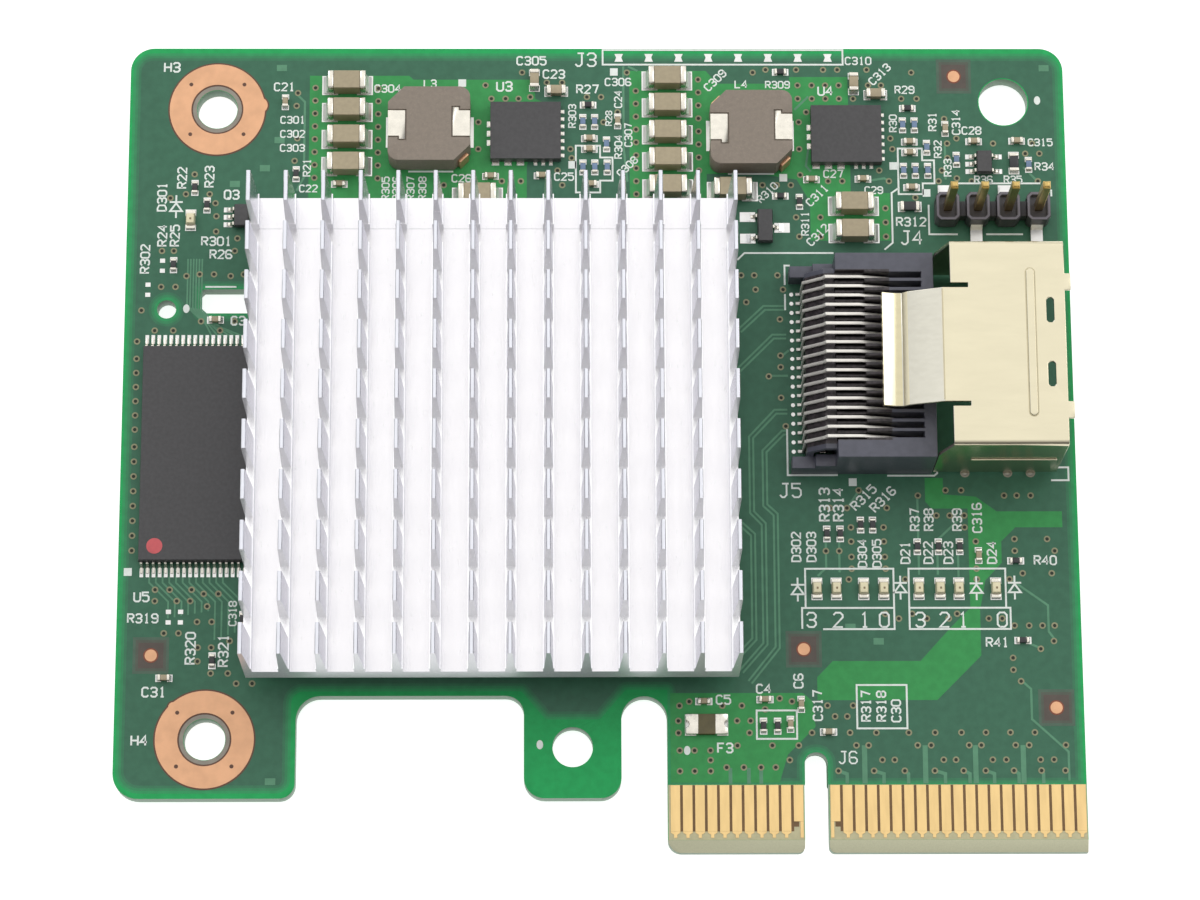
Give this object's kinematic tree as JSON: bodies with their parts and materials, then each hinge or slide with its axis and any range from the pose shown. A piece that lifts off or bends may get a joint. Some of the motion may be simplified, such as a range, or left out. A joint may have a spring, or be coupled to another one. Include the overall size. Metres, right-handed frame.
{
  "type": "storage controller card",
  "caption": "Low profile expansion card with a keyed card-edge tongue, a pin-fin heatsink over its controller chip, an internal cable port and two power stages.",
  "frame": {"origin": "key notch centre, on the lower edge of the card-edge tongue, at the board's underside", "axes": "+X along the card edge towards the cable port, +Y away from the edge across the board, +Z out of the component side"},
  "size_m": [0.0792, 0.0689, 0.0143],
  "materials": {
    "board_laminate": "satin green solder mask over glass laminate",
    "gold_plating": "bright gold plate",
    "bare_copper": "bare copper ring",
    "heatsink_metal": "plain bright aluminium",
    "thermal_pad": "soft grey pad",
    "moulding_compound": "matte dark moulding compound",
    "package_laminate": "dark green laminate",
    "tin_plating": "bright tin",
    "pressed_powder": "matte brown-grey pressed powder",
    "copper_wire": "bare copper wire",
    "ceramic": "tan ceramic",
    "black_glaze": "black glaze",
    "blue_glaze": "blue-grey glaze",
    "light_laminate": "white laminate",
    "light_resin": "pale clear resin",
    "fuse_coating": "olive coating",
    "port_plastic": "matte slate black plastic",
    "shell_plating": "bright plated sheet"
  },
  "bodies": {
    "root": {"bulk_capacitor_bodies": "ceramic", "bulk_capacitor_ends": "tin_plating", "chip_resistors": "black_glaze", "circuit_board": "board_laminate", "controller_cap": "moulding_compound", "controller_solder_balls": "tin_plating", "controller_substrate": "package_laminate", "edge_contacts_lower": "gold_plating", "edge_contacts_upper": "gold_plating", "flash_chip_body": "moulding_compound", "flash_chip_leads": "tin_plating", "fuse_body": "fuse_coating", "fuse_terminals": "tin_plating", "header_insulator": "port_plastic", "header_pins": "gold_plating", "heatsink": "heatsink_metal", "indicator_light_bases": "light_laminate", "indicator_light_lenses": "light_resin", "indicator_light_terminals": "tin_plating", "inductor_1_clips": "tin_plating", "inductor_1_core": "pressed_powder", "inductor_1_winding_ends": "copper_wire", "inductor_2_clips": "tin_plating", "inductor_2_core": "pressed_powder", "inductor_2_winding_ends": "copper_wire", "large_resistors": "black_glaze", "load_switch_body": "moulding_compound", "load_switch_leads": "tin_plating", "logic_gate_body": "moulding_compound", "logic_gate_leads": "tin_plating", "medium_capacitor_bodies": "ceramic", "medium_capacitor_ends": "tin_plating", "mounting_rings": "bare_copper", "port_contacts_lower": "tin_plating", "port_contacts_upper": "tin_plating", "port_housing": "port_plastic", "port_shell": "shell_plating", "precision_resistors": "blue_glaze", "regulator_1_body": "moulding_compound", "regulator_1_terminals": "tin_plating", "regulator_2_body": "moulding_compound", "regulator_2_terminals": "tin_plating", "small_capacitors": "ceramic", "thermal_pad": "thermal_pad", "transistor_body": "moulding_compound", "transistor_leads": "tin_plating"}
  },
  "joints": []
}
